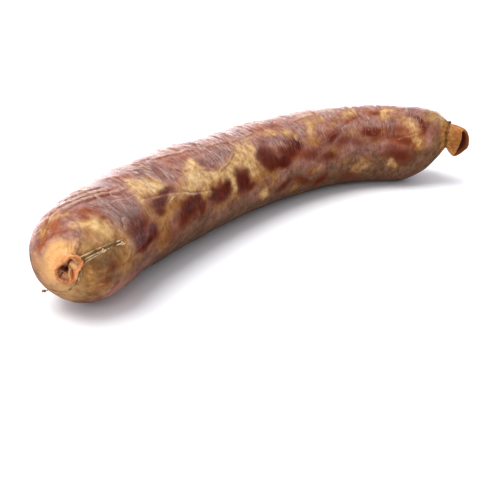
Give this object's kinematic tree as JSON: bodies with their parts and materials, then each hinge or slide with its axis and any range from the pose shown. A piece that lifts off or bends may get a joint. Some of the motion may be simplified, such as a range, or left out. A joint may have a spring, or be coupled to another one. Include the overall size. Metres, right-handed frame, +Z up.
{
  "type": "blood sausage",
  "caption": "Whole, gently curved blood sausage in a wrinkled natural casing, tied with twine at a puckered end and at a neck with a short open tail.",
  "frame": {"origin": "on the ground, under the middle of the bounding box", "axes": "+X along the sausage, from the puckered end to the end with the flared tail; +Z up; the sausage bows towards +Y"},
  "size_m": [0.376, 0.1222, 0.0634],
  "materials": {
    "casing": "natural sausage casing, moist and glossy, dark maroon-brown mottled with ochre and mauve",
    "end_twine": "twisted kitchen twine, damp, grey-tan",
    "neck_twine": "twisted kitchen twine, damp and stained dark"
  },
  "bodies": {
    "root": {"sausage": "casing", "end_twine": "end_twine", "neck_twine": "neck_twine"}
  },
  "joints": []
}
